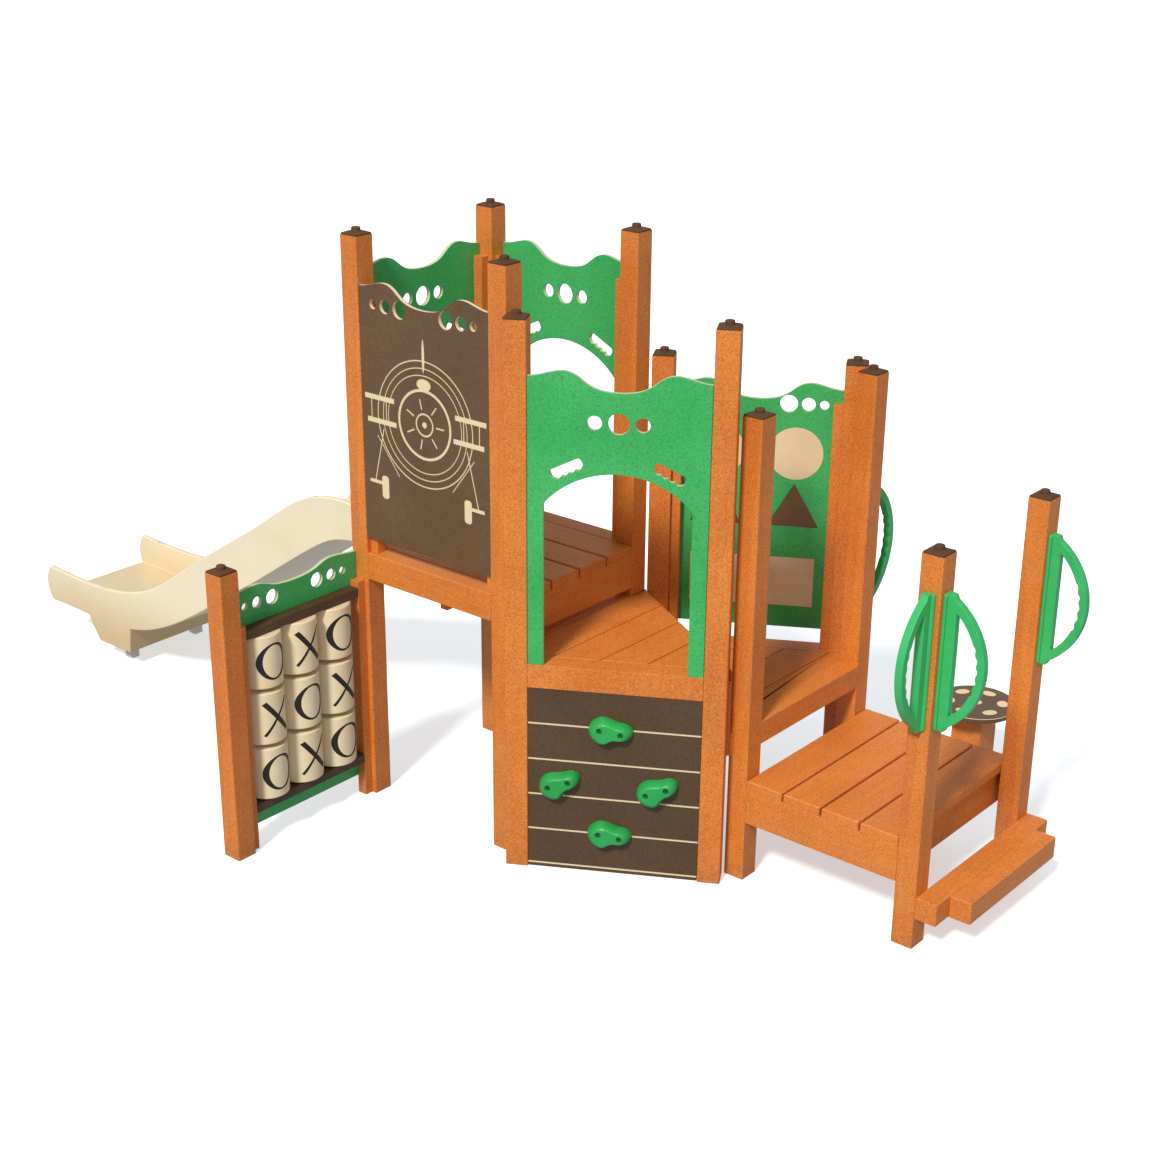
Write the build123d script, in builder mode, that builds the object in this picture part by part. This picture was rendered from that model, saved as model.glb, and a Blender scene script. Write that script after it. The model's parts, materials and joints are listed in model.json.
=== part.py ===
from build123d import *
from math import atan2, cos, degrees, hypot, radians, sin, sqrt
import os

# Children's play structure with a rock climbing wall, in millimetres, +Z up.
# Two square decks and two triangular decks climb in equal rises from an entry
# step to a high deck with a slide.  The climbing wall closes the outer edge of
# the upper triangular deck and faces -Y.  The origin is the middle of the
# ground plan, and the ground is Z = 0.

# ---------------------------------------------------------------- lumber
post_w = 88.9                  # square recycled-plastic post
bay = 762.0                    # post spacing along every side, centre to centre
corner_gap = 130.0             # spacing of the two posts that share a deck corner
board_t = 38.0                 # deck board thickness
board_gap = 5.0                # seams between the boards of the triangular decks
deck_gap = 10.0                # gap between the boards of the square decks
joist_t = 38.0                 # joists and fascia boards
joist_h = 146.0
beam_h = 95.0                  # beams flush with the triangular decks
rim_h = 115.0                  # rim beams of the high deck
edge_round = 4.0               # eased long edges of posts and beams
seam = 1.5                     # clearance beside panels and boards

# ---------------------------------------------------------------- heights
rise = 219.0                   # one step up, the same at every level
low_z = 2 * rise
lower_tri_z = 3 * rise
upper_tri_z = 4 * rise
high_z = 5 * rise
high_post_h = 2374.0
wall_post_h = 2206.0
step_post_h = 1874.0
entry_post_h = 1542.0
game_post_h = 1214.0

# ---------------------------------------------------------------- panels
sheet_t = 19.0                 # solid plastic sheet
sheet_inset = 3.0              # outer face of a sheet behind the post faces
wave_peak = 1154.0             # wavy top of an arch panel, above its deck
wave_drop = 73.0               # peak down to the valley in the middle
wave_end_drop = 24.0           # peak down to the panel's ends
wave_peak_x = 213.0
arch_half = 275.0              # half of the arch opening
arch_r = 360.0
arch_crown = 777.0
arch_hole_y = 967.0            # row of round holes above the arch
arch_holes = ((0, 80), (-88, 54), (88, 54))
barrier_foot = 70.0            # gap under a solid barrier panel
barrier_holes = ((120, 72), (198, 56), (261, 38))
hole_drop = 88.0               # row of holes below a barrier's peaks
barrier_drop = 34.0            # barrier peaks below the arch panels' peaks
batten_w = 38.0                # battens that carry the panels
batten_d = 45.0
engrave = 3.0                  # depth of engraving into the sheet's core

# ---------------------------------------------------------------- climbing wall
wall_beam_h = 96.0
groove_pitch = 152.4
groove_first = 21.0
groove_w = 8.0
hold_bolt_d = 10.0
hold_hole_d = 11.4

# ---------------------------------------------------------------- game panel
drum_r = 90.5
drum_h = 222.0
drum_pitch = 242.0
column_pitch = 187.0
rod_r = 9.0
rod_fit = 0.08                 # radial running clearance of a drum on its rod
rail_h = 38.0
rail_d = 88.9
game_rail_z = 155.0            # underside of the bottom rail
drum_axis_v = 40.0             # drum axes behind the middle of the posts
drum_foot_gap = 7.0            # collar space under the bottom drums
drum_head_gap = 4.0            # above the top drums

# ---------------------------------------------------------------- slide
slide_w = 600.0
slide_wall = 26.0
slide_floor = 30.0             # chute floor, measured upright

# ---------------------------------------------------------------- plan
wall_x = 711.0                 # middle of the climbing wall in the ground plan
wall_y = -869.0
east = Vector(1, 0, 0)
north = Vector(0, 1, 0)
along_u = Vector(cos(radians(60)), sin(radians(60)), 0)
along_v = Vector(cos(radians(150)), sin(radians(150)), 0)
away_45 = along_u * cos(radians(-120)) + along_v * sin(radians(-120))
away_30 = along_u * cos(radians(-30)) + along_v * sin(radians(-30))
half = post_w / 2
clear = bay - post_w

spot = {}
spot["wall_left"] = Vector(wall_x - bay / 2, wall_y, 0)
spot["wall_right"] = Vector(wall_x + bay / 2, wall_y, 0)
spot["high_front"] = spot["wall_left"] - away_45 * corner_gap
spot["high_right"] = spot["high_front"] + along_u * bay
spot["high_left"] = spot["high_front"] + along_v * bay
spot["high_back"] = spot["high_left"] + along_u * bay
spot["panel_left"] = spot["high_right"] + away_30 * corner_gap
spot["panel_right"] = spot["panel_left"] + east * bay
spot["step_back"] = spot["panel_right"] + away_45 * corner_gap
spot["step_front"] = spot["step_back"] - along_u * bay
spot["entry_left"] = spot["step_front"] - along_v * bay
spot["entry_right"] = spot["step_back"] - along_v * bay
spot["game_end"] = spot["high_left"] - along_u * bay

post_height = {
    "high_front": high_post_h,
    "high_right": high_post_h,
    "high_left": high_post_h,
    "high_back": high_post_h,
    "wall_left": wall_post_h,
    "wall_right": wall_post_h,
    "panel_left": step_post_h,
    "panel_right": step_post_h,
    "step_front": step_post_h,
    "step_back": step_post_h,
    "entry_left": entry_post_h,
    "entry_right": entry_post_h,
    "game_end": game_post_h,
}
square_to_wall = ("wall_left", "wall_right", "panel_left", "panel_right")

os.makedirs("parts", exist_ok=True)


def save(piece, name):
    """Label one finished piece and write its STEP file."""
    piece.part.label = name
    export_step(piece.part, f"parts/{name}.step")


def post_plane(name, z=0.0):
    """Level plane on a post's axis, turned with the post."""
    facing = east if name in square_to_wall else along_u
    at = spot[name]
    return Plane(origin=(at.X, at.Y, z), x_dir=facing, z_dir=(0, 0, 1))


def side_plane(first, last, z=0.0, out=0.0):
    """Upright plane half way between two posts, seen from outside the structure.

    x runs from the first post to the last, y is up and the normal points out.
    """
    run = (spot[last] - spot[first]).normalized()
    normal = Vector(run.Y, -run.X, 0)
    mid = (spot[first] + spot[last]) / 2 + normal * out
    return Plane(origin=(mid.X, mid.Y, z), x_dir=run, z_dir=normal)


def level_plane(first, last, z=0.0):
    """Level plane half way between two posts, x along them and y to their left."""
    run = (spot[last] - spot[first]).normalized()
    mid = (spot[first] + spot[last]) / 2
    return Plane(origin=(mid.X, mid.Y, z), x_dir=run, z_dir=(0, 0, 1))


def local(plane, point):
    """A world point as sketch coordinates of a level plane."""
    off = point - plane.origin
    return (off.dot(plane.x_dir), off.dot(plane.y_dir))


sheet_face = half - sheet_inset            # outer face of every panel
sheet_back = sheet_face - sheet_t

# ================================================================ posts
for name, height in post_height.items():
    with BuildPart() as post:
        with BuildSketch(post_plane(name)):
            RectangleRounded(post_w, post_w, edge_round)
        extrude(amount=height)
    save(post, f"post_{name}")

cap_t = 6.0
cap_slope = 7.0
knob_r = 18.0
knob_h = 15.0
with BuildPart() as post_caps:
    for name, height in post_height.items():
        with BuildSketch(post_plane(name, height)):
            RectangleRounded(post_w - 4, post_w - 4, edge_round)
        extrude(amount=cap_t)
        with BuildSketch(post_plane(name, height + cap_t)):
            RectangleRounded(post_w - 5, post_w - 5, edge_round)
        extrude(amount=cap_slope, taper=68)
        with BuildSketch(post_plane(name, height + cap_t)):
            Circle(knob_r)
        extrude(amount=cap_slope + knob_h)
    knob_top = cap_t + cap_slope + knob_h
    knob_levels = [height + knob_top for height in post_height.values()]
    rims = post_caps.edges().filter_by(GeomType.CIRCLE)
    fillet(rims.filter_by(lambda e: min(abs(e.center().Z - z) for z in knob_levels) < 0.1), radius=4)
save(post_caps, "post_caps")

# ================================================================ high deck
board_w = (clear - 3 * deck_gap - 2 * seam) / 4


def run_of_boards(plane, count, width, length):
    """Parallel deck boards with eased ends, side by side about the plane's x axis."""
    with BuildPart() as boards:
        for k in range(count):
            y = (k - (count - 1) / 2) * (width + deck_gap)
            with BuildSketch(plane):
                with Locations((0, y)):
                    Rectangle(length, width)
            extrude(amount=board_t)
        chamfer(boards.edges().group_by(Axis.Z)[-1], length=edge_round)
    return boards


deck_mid = (spot["high_front"] + spot["high_back"]) / 2
high_plane = Plane(origin=(deck_mid.X, deck_mid.Y, high_z - board_t), x_dir=along_v, z_dir=(0, 0, 1))
save(run_of_boards(high_plane, 4, board_w, bay + post_w), "high_deck_boards")

joist_top = high_z - board_t
with BuildPart() as high_deck_frame:
    z = joist_top - joist_h
    with BuildSketch(Plane(origin=(deck_mid.X, deck_mid.Y, z), x_dir=along_u, z_dir=(0, 0, 1))):
        with Locations((0, (bay + post_w - joist_t) / 2), (0, 0), (0, -(bay + post_w - joist_t) / 2)):
            Rectangle(clear, joist_t)
    extrude(amount=joist_h)
save(high_deck_frame, "high_deck_joists")

with BuildPart() as high_deck_rims:
    with BuildSketch(Plane(origin=(deck_mid.X, deck_mid.Y, high_z - rim_h), x_dir=along_u, z_dir=(0, 0, 1))):
        with Locations((-bay / 2, 0), (bay / 2, 0)):
            Rectangle(post_w, clear)
    extrude(amount=rim_h)
    fillet(high_deck_rims.edges().filter_by(lambda e: abs(e.length - clear) < 0.5), radius=edge_round)
save(high_deck_rims, "high_deck_rims")

# ================================================================ triangular decks
# The two triangles share the line half way between their corner posts.
shared_start = (spot["high_right"] + spot["panel_left"]) / 2
shared_end = (spot["wall_right"] + spot["step_front"]) / 2
shared_run = (shared_end - shared_start).normalized()
shared_left = Vector(-shared_run.Y, shared_run.X, 0)
tri_mid = (shared_start + shared_end) / 2
strip_pitch = 160.0
first_seam = -37.0             # first seam of the upper triangle beyond the high deck's posts


def plan_at(z):
    """Level sketch plane at the middle of the shared deck line, x along u."""
    return Plane(origin=(tri_mid.X, tri_mid.Y, z), x_dir=along_u, z_dir=(0, 0, 1))


def band(line_from, line_to, lower, upper, reach):
    """Corner points of a strip beside a line; lower and upper are left of it."""
    run = (line_to - line_from).normalized()
    left = Vector(-run.Y, run.X, 0)
    a = line_from - run * reach
    b = line_to + run * reach
    return [a + left * lower, b + left * lower, b + left * upper, a + left * upper]


def draw(points, z, mode=Mode.ADD):
    """Draw a closed outline of world points on the shared plan."""
    plane = plan_at(z)
    Polygon(*[local(plane, p) for p in points], align=None, mode=mode)


def cut_posts(names, z, grow):
    """Cut the footprints of posts, a little larger than the posts, from a sketch."""
    for name in names:
        facing = east if name in square_to_wall else along_u
        side = Vector(-facing.Y, facing.X, 0)
        r = half + grow
        at = spot[name]
        draw([at - facing * r - side * r, at + facing * r - side * r,
              at + facing * r + side * r, at - facing * r + side * r], z, Mode.SUBTRACT)


ledger_z = lower_tri_z - board_t - beam_h
cleat = 38.0                   # cleats that hold boards beside a flush beam
upper_posts = ("high_front", "wall_left", "high_right", "panel_left", "wall_right", "step_front")
lower_posts = ("high_right", "panel_left", "wall_right", "step_front", "panel_right", "step_back")


def seam_strips(first, last, side_seam, count, z):
    """Cut the seams between boards that run parallel to a line between two posts."""
    for k in range(count):
        at = side_seam - k * strip_pitch
        draw(band(spot[first], spot[last], at - board_gap / 2, at + board_gap / 2, bay), z, Mode.SUBTRACT)


board_z = upper_tri_z - board_t
with BuildPart() as upper_tri_boards:
    with BuildSketch(plan_at(board_z)):
        draw([spot["high_front"] + along_v * half, spot["high_right"] + along_v * half,
              shared_start, shared_end, spot["wall_right"] + north * (half + seam),
              spot["wall_left"] + north * (half + seam)], board_z)
        cut_posts(upper_posts, board_z, seam)
        seam_strips("high_front", "high_right", first_seam, 5, board_z)
    extrude(amount=board_t)
save(upper_tri_boards, "upper_triangle_boards")

board_z = lower_tri_z - board_t
with BuildPart() as lower_tri_boards:
    with BuildSketch(plan_at(board_z)):
        draw([shared_start + shared_left * seam, spot["panel_left"] - north * (half + seam),
              spot["panel_right"] - north * (half + seam), spot["step_back"] + along_v * (half + seam),
              spot["step_front"] + along_v * (half + seam), shared_end + shared_left * seam], board_z)
        cut_posts(lower_posts, board_z, seam)
        seam_strips("step_front", "step_back", half + 4.5 * strip_pitch, 5, board_z)
    extrude(amount=board_t)
save(lower_tri_boards, "lower_triangle_boards")

with BuildPart() as upper_tri_beams:
    z = upper_tri_z - wall_beam_h
    with BuildSketch(plan_at(z)):
        draw(band(spot["wall_left"], spot["wall_right"], -half, half, -half), z)
    extrude(amount=wall_beam_h)
    z = upper_tri_z - board_t - beam_h
    with BuildSketch(plan_at(z)):
        draw(band(spot["high_front"], spot["high_right"], -half, half, -half), z)
    extrude(amount=beam_h)
    z = ledger_z
    with BuildSketch(plan_at(z)):
        draw(band(shared_start, shared_end, -joist_t, 0, 0), z)
        cut_posts(upper_posts, z, 0)
    extrude(amount=upper_tri_z - board_t - z)
    z = upper_tri_z - board_t - cleat
    with BuildSketch(plan_at(z)):
        draw(band(spot["wall_left"], spot["wall_right"], half, half + cleat, -half), z)
    extrude(amount=cleat)
save(upper_tri_beams, "upper_triangle_beams")

with BuildPart() as lower_tri_beams:
    z = lower_tri_z - beam_h
    with BuildSketch(plan_at(z)):
        draw(band(spot["step_front"], spot["step_back"], -half, half, -half), z)
        draw(band(spot["panel_right"], spot["panel_left"], -half, half, -half), z)
    extrude(amount=beam_h)
    z = ledger_z
    with BuildSketch(plan_at(z)):
        draw(band(shared_start, shared_end, 0, joist_t, 0), z)
        cut_posts(lower_posts, z, 0)
    extrude(amount=beam_h)
    z = lower_tri_z - board_t - cleat
    with BuildSketch(plan_at(z)):
        draw(band(spot["step_front"], spot["step_back"], half, half + cleat, -half), z)
        draw(band(spot["panel_right"], spot["panel_left"], half, half + cleat, -half), z)
    extrude(amount=cleat)
save(lower_tri_beams, "lower_triangle_beams")

# ================================================================ entry deck
entry_mid = (spot["step_front"] + spot["entry_right"]) / 2
entry_plane = Plane(origin=(entry_mid.X, entry_mid.Y, low_z - board_t), x_dir=along_u, z_dir=(0, 0, 1))
save(run_of_boards(entry_plane, 4, board_w, bay + post_w), "entry_deck_boards")

with BuildPart() as entry_deck_frame:
    z = low_z - board_t - joist_h
    with BuildSketch(Plane(origin=(entry_mid.X, entry_mid.Y, z), x_dir=along_u, z_dir=(0, 0, 1))):
        with Locations(((bay + post_w - joist_t) / 2, 0), (-(bay + post_w - joist_t) / 2, 0)):
            Rectangle(joist_t, clear)
        with Locations((0, clear / 2 - joist_t), (0, 0), (0, -clear / 2 + joist_t)):
            Rectangle(bay + post_w - 2 * joist_t, joist_t)
    extrude(amount=joist_h)
save(entry_deck_frame, "entry_deck_frame")

step_inner_l = bay + post_w
step_outer_l = 654.0
step_beam = 88.9
with BuildPart() as step_beams:
    with BuildSketch(level_plane("entry_left", "entry_right", rise - step_beam)):
        with Locations((0, -half - step_beam / 2)):
            RectangleRounded(step_inner_l, step_beam, edge_round)
    extrude(amount=step_beam)
    fillet(step_beams.edges().group_by(Axis.Z)[-1], radius=edge_round)
save(step_beams, "step_inner_beam")

with BuildPart() as step_outer:
    with BuildSketch(level_plane("entry_left", "entry_right", rise - step_beam)):
        with Locations((-4, -half - step_beam * 1.5)):
            RectangleRounded(step_outer_l, step_beam, edge_round)
    extrude(amount=step_beam)
    fillet(step_outer.edges().group_by(Axis.Z)[-1], radius=edge_round)
save(step_outer, "step_outer_beam")

# ================================================================ climbing wall
panel_w = clear - 2 * seam
climb_h = upper_tri_z - wall_beam_h
groove_count = 5
hold_at = [(-10, 625, 0), (-207, 383, 28), (175, 386, 28), (-10, 176, 0)]
hold_bolt_gap = 83.0


def turned(x, y, angle):
    """Turn a point about the origin by an angle in degrees."""
    c, s = cos(radians(angle)), sin(radians(angle))
    return (x * c - y * s, x * s + y * c)


def bolt_points(place):
    """The two bolt positions of one climbing hold, in panel coordinates."""
    x, y, angle = place
    return [(x + dx, y + dy) for dx, dy in (turned(-hold_bolt_gap / 2, 12, angle - 4),
                                            turned(hold_bolt_gap / 2, 6, angle - 4))]


with BuildPart() as climbing_panel:
    with BuildSketch(side_plane("wall_left", "wall_right", 0, sheet_back)):
        with Locations((0, climb_h / 2 + 2)):
            Rectangle(panel_w, climb_h - 4)
        for place in hold_at:
            with Locations(*bolt_points(place)):
                Circle(hold_hole_d / 2, mode=Mode.SUBTRACT)
    extrude(amount=sheet_t)
    with BuildSketch(side_plane("wall_left", "wall_right", 0, sheet_face)):
        for k in range(groove_count):
            with Locations((0, groove_first + k * groove_pitch)):
                Rectangle(panel_w, groove_w)
    extrude(amount=-engrave, mode=Mode.SUBTRACT)
save(climbing_panel, "climbing_panel")

hold_l = 176.0
hold_d = 46.0
hold_outline = ((-hold_l / 2, 4), (-72, 38), (-34, 56), (8, 46), (30, 38), (58, 33), (86, 8), (80, -18),
                (56, -32), (24, -32), (-4, -42), (-34, -56), (-68, -42))
hold_sections = ((0, 1.0), (14, 0.97), (32, 0.86), (hold_d, 0.66))
hold_names = ("hold_top", "hold_left", "hold_right", "hold_bottom")
bolt_head_r = 9.0
bolt_head_h = 7.0
head_seat = hold_d - 12        # where a bolt head seats inside its counterbore
hex_socket_r = 4.6
for name, place in zip(hold_names, hold_at):
    face = side_plane("wall_left", "wall_right", 0, sheet_face)
    angle = place[2]
    centre = face.origin + face.x_dir * place[0] + face.y_dir * place[1]
    level_dir = face.x_dir * cos(radians(angle)) + face.y_dir * sin(radians(angle))
    with BuildPart() as hold:
        for depth, shrink in hold_sections:
            level = Plane(origin=centre + face.z_dir * depth, x_dir=level_dir, z_dir=face.z_dir)
            with BuildSketch(level):
                with BuildLine():
                    Spline(*[(x * shrink, y * shrink) for x, y in hold_outline], periodic=True)
                make_face()
        loft()
        fillet(hold.faces().sort_by(Axis.Y)[0].edges(), radius=8)
        for bx, by in bolt_points(place):
            at = face.origin + face.x_dir * bx + face.y_dir * by
            with BuildSketch(Plane(origin=at, x_dir=face.x_dir, z_dir=face.z_dir)):
                Circle(hold_hole_d / 2)
            extrude(amount=hold_d, mode=Mode.SUBTRACT)
            with BuildSketch(Plane(origin=at + face.z_dir * head_seat, x_dir=face.x_dir, z_dir=face.z_dir)):
                Circle(bolt_head_r + 2.5)
            extrude(amount=20, mode=Mode.SUBTRACT)
    save(hold, name)

with BuildPart() as hold_bolts:
    for place in hold_at:
        for bx, by in bolt_points(place):
            face = side_plane("wall_left", "wall_right", 0, sheet_face)
            at = face.origin + face.x_dir * bx + face.y_dir * by
            seat = Plane(origin=at + face.z_dir * head_seat, x_dir=face.x_dir, z_dir=face.z_dir)
            with BuildSketch(seat):
                Circle(bolt_head_r)
                RegularPolygon(hex_socket_r, 6, mode=Mode.SUBTRACT)
            extrude(amount=bolt_head_h)
            with BuildSketch(seat):
                Circle(hold_bolt_d / 2)
            extrude(amount=-(head_seat + sheet_t + 12))
            with BuildSketch(Plane(origin=at - face.z_dir * sheet_t, x_dir=face.x_dir, z_dir=face.z_dir)):
                Circle(bolt_head_r)
            extrude(amount=-8)
save(hold_bolts, "hold_bolts")

# ================================================================ wavy panels
slot_l = 125.0
slot_h = 46.0
slot_x = 190.0
slot_y = 790.0
slot_tilt = 26.0
finger_r = 11.0


wave_shape = ((panel_w / 2, wave_end_drop), (286, 17), (250, 7), (wave_peak_x, 0), (179, 4), (153, 17),
              (123, 40), (87, 60), (45, 70), (0, wave_drop))


def wave_points(peak, depth=1.0):
    """Points of the wavy top from right to left: its peak height and how deep it dips."""
    rise_to = [(x, peak - drop * depth) for x, drop in wave_shape]
    return rise_to + [(-x, y) for x, y in reversed(rise_to[:-1])]


def hand_slots():
    """Cut the two tilted hand slots with finger waves from an arch panel."""
    for side in (-1, 1):
        tilt = -side * slot_tilt
        with Locations(Location((side * slot_x, slot_y, 0), (0, 0, tilt))):
            RectangleRounded(slot_l, slot_h - 10, 12, mode=Mode.SUBTRACT)
        fingers = [turned(dx, -slot_h / 2 + 12, tilt) for dx in (-42, -14, 14, 42)]
        with Locations(*[(side * slot_x + fx, slot_y + fy) for fx, fy in fingers]):
            Circle(finger_r + 3, mode=Mode.SUBTRACT)


def arch_panel(first, last, deck_z):
    """A green arch panel with a wavy top, three round holes and two hand slots."""
    with BuildPart() as panel:
        with BuildSketch(side_plane(first, last, deck_z, sheet_back)):
            with BuildLine():
                top = Spline(*wave_points(wave_peak))
                spring = arch_crown - arch_r + sqrt(arch_r ** 2 - arch_half ** 2)
                Polyline(top @ 1, (-panel_w / 2, 0), (-arch_half, 0), (-arch_half, spring))
                ThreePointArc((-arch_half, spring), (0, arch_crown), (arch_half, spring))
                Polyline((arch_half, spring), (arch_half, 0), (panel_w / 2, 0), top @ 0)
            make_face()
            for x, d in arch_holes:
                with Locations((x, arch_hole_y)):
                    Circle(d / 2, mode=Mode.SUBTRACT)
            hand_slots()
        extrude(amount=sheet_t)
        fillet(panel.edges().filter_by(lambda e: abs(e.length - sheet_t) < 0.01)
               .filter_by(lambda e: abs(e.center().Z - deck_z - spring) < 0.5), radius=30)
    return panel


save(arch_panel("wall_left", "wall_right", upper_tri_z), "climbing_arch_panel")
save(arch_panel("high_back", "high_left", high_z), "slide_arch_panel")
save(arch_panel("high_right", "high_back", high_z), "back_arch_panel")


def paired_holes(y, places):
    """Cut a mirrored row of round holes under a wavy top: (distance out, diameter)."""
    for x, d in places:
        with Locations((-x, y), (x, y)):
            Circle(d / 2, mode=Mode.SUBTRACT)


barrier_peak = wave_peak - barrier_drop


def barrier_panel(first, last, deck_z):
    """A solid barrier panel with a wavy top and two rows of round holes."""
    with BuildPart() as panel:
        with BuildSketch(side_plane(first, last, deck_z, sheet_back)):
            with BuildLine():
                top = Spline(*wave_points(barrier_peak))
                Polyline(top @ 1, (-panel_w / 2, barrier_foot), (panel_w / 2, barrier_foot), top @ 0)
            make_face()
            paired_holes(barrier_peak - hole_drop, barrier_holes)
        extrude(amount=sheet_t)
    return panel


# The outer face of the aeroplane panel is engraved with a biplane seen from the
# front, wings level, with rings for its turning propeller.
ring_y = 605.0
plane_blank = barrier_panel("high_left", "high_front", high_z)
with BuildPart() as plane_panel:
    add(plane_blank.part)
    with BuildSketch(side_plane("high_left", "high_front", high_z, sheet_face)):
        for r, t in ((254, 7), (225, 6), (197, 6), (142, 13), (48, 9)):
            with Locations((0, ring_y)):
                Circle(r)
                Circle(r - t, mode=Mode.SUBTRACT)
        with Locations((0, ring_y)):
            Circle(13)
            with PolarLocations(82, 7):
                SlotOverall(46, 8)
        with Locations((0, ring_y + 270)):
            Ellipse(8, 68)
        with Locations((0, ring_y + 158)):
            Ellipse(38, 24)
    extrude(amount=-engrave, mode=Mode.SUBTRACT)
    with BuildSketch(side_plane("high_left", "high_front", high_z, sheet_face)):
        for side in (-1, 1):
            for y, x0, x1, t in ((62, 160, 322, 22), (-32, 150, 310, 22)):
                with Locations((side * (x0 + x1) / 2, ring_y + y)):
                    Rectangle(x1 - x0, t)
            for x in (205, 285):
                with Locations((side * x, ring_y + 15)):
                    Rectangle(7, 72)
            with Locations(Location((side * 250, ring_y - 175, 0), (0, 0, side * 14))):
                Rectangle(7, 240)
            with Locations(Location((side * 200, ring_y - 165, 0), (0, 0, side * -38))):
                Rectangle(6, 190)
            with Locations((side * 222, ring_y - 300)):
                RectangleRounded(40, 96, 14)
            with Locations((side * 275, ring_y - 285)):
                Rectangle(66, 16)
    extrude(amount=-engrave, mode=Mode.SUBTRACT)
save(plane_panel, "aeroplane_panel")

shape_t = 3.0                  # shapes let into the sheet, flush with its inner face
shape_fit = 0.4
shape_x = 158.0                # the two columns of shapes
circle_r = 110.0
circle_y = 826.0
square_w = 196.0
square_h = 214.0
square_y = 272.0
triangle_base = 210.0
triangle_side = 212.0
triangle_y = 575.0
shapes_blank = barrier_panel("panel_right", "panel_left", lower_tri_z)
with BuildPart() as shapes_panel:
    add(shapes_blank.part)
    with BuildSketch(side_plane("panel_right", "panel_left", lower_tri_z, sheet_back)):
        for x in (-shape_x, shape_x):
            with Locations((x, circle_y)):
                Circle(circle_r)
            with Locations((x, square_y)):
                Rectangle(square_w, square_h)
            with Locations((x, triangle_y)):
                Triangle(a=triangle_base, b=triangle_side, c=triangle_side)
    extrude(amount=shape_t, mode=Mode.SUBTRACT)
save(shapes_panel, "shapes_panel")

with BuildPart() as pale_shapes:
    with BuildSketch(side_plane("panel_right", "panel_left", lower_tri_z, sheet_back)):
        with Locations((-shape_x, circle_y), (shape_x, circle_y)):
            Circle(circle_r - shape_fit)
        with Locations((-shape_x, square_y), (shape_x, square_y)):
            Rectangle(square_w - 2 * shape_fit, square_h - 2 * shape_fit)
    extrude(amount=shape_t)
save(pale_shapes, "shape_circles_squares")

with BuildPart() as triangles:
    with BuildSketch(side_plane("panel_right", "panel_left", lower_tri_z, sheet_back)):
        with Locations((-shape_x, triangle_y), (shape_x, triangle_y)):
            leg = triangle_side - 3 * shape_fit
            Triangle(a=triangle_base - 3 * shape_fit, b=leg, c=leg)
    extrude(amount=shape_t)
save(triangles, "shape_triangles")

# ================================================================ battens
def battens(places):
    """Upright battens behind panels: (first post, last post, foot, top) of each panel."""
    with BuildPart() as strips:
        for first, last, foot, top in places:
            with BuildSketch(side_plane(first, last, foot, sheet_back)):
                for side in (-1, 1):
                    with Locations((side * (clear - batten_w) / 2, (top - foot) / 2)):
                        Rectangle(batten_w, top - foot)
            extrude(amount=-batten_d)
    return strips


batten_top = 1082.0            # batten tops above the deck
game_batten_top = 972.0
panel_battens = battens([
    ("wall_left", "wall_right", 0, climb_h),
    ("wall_left", "wall_right", upper_tri_z, upper_tri_z + batten_top),
    ("high_back", "high_left", high_z, high_z + batten_top),
    ("high_right", "high_back", high_z, high_z + batten_top),
    ("high_left", "high_front", high_z, high_z + batten_top - barrier_drop),
    ("panel_right", "panel_left", lower_tri_z, lower_tri_z + batten_top - barrier_drop),
    ("high_left", "game_end", 0, game_batten_top),
])
save(panel_battens, "panel_battens")

# ================================================================ game panel
game_peak = 1100.0
game_foot = 80.0
game_hole_drop = 74.0
game_holes = ((118, 62), (196, 48), (258, 32))
game_wave = 0.5                # its wave is shallower than the barriers'
game_clear = clear - 2 * batten_w
drum_foot = game_rail_z + rail_h + drum_foot_gap
rail_gap = 2 * drum_pitch + drum_h + drum_foot_gap + drum_head_gap
top_rail_z = game_rail_z + rail_h + rail_gap
window_h = rail_gap + 2 * rail_h
with BuildPart() as game_frame:
    with BuildSketch(side_plane("high_left", "game_end", 0, sheet_back)):
        with BuildLine():
            top = Spline(*wave_points(game_peak, game_wave))
            Polyline(top @ 1, (-panel_w / 2, game_foot), (panel_w / 2, game_foot), top @ 0)
        make_face()
        with Locations((0, game_rail_z + window_h / 2)):
            Rectangle(game_clear, window_h, mode=Mode.SUBTRACT)
        paired_holes(game_peak - game_hole_drop, game_holes)
    extrude(amount=sheet_t)
save(game_frame, "game_frame")

with BuildPart() as game_rails:
    for z in (game_rail_z, top_rail_z):
        with BuildSketch(side_plane("high_left", "game_end", z, sheet_back - batten_d)):
            with Locations((0, rail_h / 2)):
                Rectangle(game_clear, rail_h)
        extrude(amount=rail_d)
    chamfer(game_rails.edges().filter_by(lambda e: abs(e.length - game_clear) < 0.1), length=2)
save(game_rails, "game_rails")

game_mid = (spot["high_left"] + spot["game_end"]) / 2
collar_r = 22.0
collar_h = 6.0


def drum_plane(column, z):
    """Level plane on a rod's axis; -y looks out of the game side of the panel."""
    at = game_mid + along_u * (column * column_pitch) + along_v * drum_axis_v
    return Plane(origin=(at.X, at.Y, z), x_dir=along_u, z_dir=(0, 0, 1))


with BuildPart() as game_rods:
    for column in (-1, 0, 1):
        with BuildSketch(drum_plane(column, game_rail_z + rail_h)):
            Circle(rod_r)
        extrude(amount=rail_gap)
        for row in range(3):
            with BuildSketch(drum_plane(column, drum_foot + row * drum_pitch - 0.5)):
                Circle(collar_r)
            extrude(amount=-collar_h)
        with BuildSketch(drum_plane(column, game_rail_z + rail_h)):
            Circle(collar_r)
        extrude(amount=2)
save(game_rods, "game_rods")

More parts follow.
